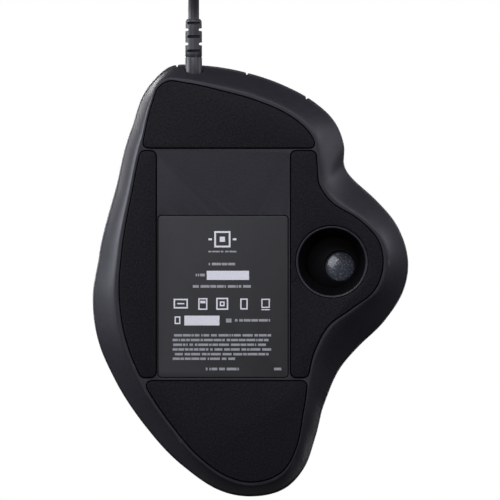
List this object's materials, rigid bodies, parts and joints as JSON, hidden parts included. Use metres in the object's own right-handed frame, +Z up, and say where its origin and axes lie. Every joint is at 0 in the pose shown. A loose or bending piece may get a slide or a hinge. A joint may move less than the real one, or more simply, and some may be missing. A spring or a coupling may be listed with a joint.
{
  "type": "trackball mouse",
  "caption": "Wired right-hand thumb trackball: domed body on textured feet, thumb ball, scroll wheel, click buttons and a coiled cable with its plug.",
  "frame": {"origin": "on the desk under the middle of the body, the feet standing on z = 0", "axes": "+Z up, +Y towards the cable end, +X towards the user's right; the ball is on the -X side"},
  "size_m": [0.0978, 0.2245, 0.05],
  "materials": {
    "casing": "fine moulded grain, satin",
    "cover": "soft-touch matt",
    "button": "soft-touch matt",
    "foot_rubber": "fine textured rubber",
    "label_film": "printed satin film",
    "ball_resin": "polished resin with fine metallic speckle",
    "cup_plastic": "low-friction moulded plastic",
    "ruby": "polished synthetic ruby",
    "steel": "plated steel",
    "circuit": "solder mask",
    "component": "moulded component",
    "plunger": "moulded",
    "tyre_rubber": "ribbed rubber",
    "hub_plastic": "moulded",
    "cable_jacket": "soft matt jacket",
    "contact_plastic": "moulded",
    "lens_plastic": "clear moulded lens"
  },
  "bodies": {
    "casing": {"bottom_shell": "casing", "top_shell": "cover", "front_foot": "foot_rubber", "right_foot": "foot_rubber", "ball_side_foot": "foot_rubber", "rear_foot": "foot_rubber", "label_plate": "label_film", "ball_cup": "cup_plastic", "sensor_lens": "lens_plastic", "sensor_chip": "component", "sensor_board": "circuit", "main_board": "circuit", "side_board": "circuit", "controller_chip": "component", "cable_socket": "contact_plastic", "cable_loom": "cable_jacket", "strain_relief": "cable_jacket", "cable": "cable_jacket", "cable_coil": "cable_jacket", "cable_tail": "cable_jacket", "cable_tie": "tyre_rubber", "plug_body": "cable_jacket", "plug_shell": "steel", "plug_tongue": "contact_plastic", "support_holder_1": "hub_plastic", "support_ball_1": "ruby", "support_holder_2": "hub_plastic", "support_ball_2": "ruby", "support_holder_3": "hub_plastic", "support_ball_3": "ruby", "case_screw_1": "steel", "case_screw_2": "steel", "case_screw_3": "steel", "case_screw_4": "steel", "cup_screw_1": "steel", "cup_screw_2": "steel", "left_switch": "component", "right_switch": "component", "wheel_switch": "component", "forward_switch": "component", "back_switch": "component"},
    "left_button": {"left_button": "button"},
    "right_button": {"right_button": "button"},
    "forward_button": {"forward_button": "button"},
    "back_button": {"back_button": "button"},
    "wheel_carriage": {"wheel_carriage": "hub_plastic", "wheel_encoder": "component"},
    "wheel": {"wheel_tyre": "tyre_rubber", "wheel_hub": "hub_plastic", "wheel_axle": "steel"},
    "trackball": {"trackball": "ball_resin"},
    "left_plunger": {"left_switch_plunger": "plunger"},
    "right_plunger": {"right_switch_plunger": "plunger"},
    "wheel_plunger": {"wheel_switch_plunger": "plunger"},
    "forward_plunger": {"forward_switch_plunger": "plunger"},
    "back_plunger": {"back_switch_plunger": "plunger"}
  },
  "joints": [
    {"name": "left_click", "type": "hinge", "parent": "casing", "child": "left_button", "pos_m": [-0.008, 0.0095, 0.038], "axis": [-1, 0, 0], "range_deg": [0, 1], "stiffness_Nm_per_rad": 1.1, "springref_deg": -0.23},
    {"name": "right_click", "type": "hinge", "parent": "casing", "child": "right_button", "pos_m": [0.011, 0.0095, 0.038], "axis": [-1, 0, 0], "range_deg": [0, 1], "stiffness_Nm_per_rad": 1.1, "springref_deg": -0.23},
    {"name": "forward_click", "type": "slide", "parent": "casing", "child": "forward_button", "axis": [0, 0, -1], "range_m": [0, 0.0005], "stiffness_N_per_m": 1400, "springref_m": -0.0002},
    {"name": "back_click", "type": "slide", "parent": "casing", "child": "back_button", "axis": [0, 0, -1], "range_m": [0, 0.0005], "stiffness_N_per_m": 1400, "springref_m": -0.0002},
    {"name": "wheel_click", "type": "slide", "parent": "casing", "child": "wheel_carriage", "axis": [0, 0, -1], "range_m": [0, 0.0006], "stiffness_N_per_m": 1600, "springref_m": -0.0002},
    {"name": "wheel_spin", "type": "hinge", "parent": "wheel_carriage", "child": "wheel", "pos_m": [0.0011, 0.044, 0.0196], "axis": [1, 0, 0], "continuous": true},
    {"name": "ball_roll", "type": "hinge", "parent": "casing", "child": "trackball", "pos_m": [-0.0275, 0.0045, 0.0265], "axis": [1, 0, 0], "continuous": true},
    {"name": "left_plunger_press", "type": "slide", "parent": "casing", "child": "left_plunger", "axis": [0, 0, -1], "range_m": [0, 0.0006]},
    {"name": "right_plunger_press", "type": "slide", "parent": "casing", "child": "right_plunger", "axis": [0, 0, -1], "range_m": [0, 0.0006]},
    {"name": "wheel_plunger_press", "type": "slide", "parent": "casing", "child": "wheel_plunger", "axis": [0, 0, -1], "range_m": [0, 0.0006]},
    {"name": "forward_plunger_press", "type": "slide", "parent": "casing", "child": "forward_plunger", "axis": [0, 0, -1], "range_m": [0, 0.0006]},
    {"name": "back_plunger_press", "type": "slide", "parent": "casing", "child": "back_plunger", "axis": [0, 0, -1], "range_m": [0, 0.0006]}
  ],
  "couplings": [
    {"joint": "left_plunger_press", "follows": "left_click", "m_per_rad": 0.0325},
    {"joint": "right_plunger_press", "follows": "right_click", "m_per_rad": 0.0325},
    {"joint": "wheel_plunger_press", "follows": "wheel_click", "ratio": 1},
    {"joint": "forward_plunger_press", "follows": "forward_click", "ratio": 1},
    {"joint": "back_plunger_press", "follows": "back_click", "ratio": 1}
  ]
}
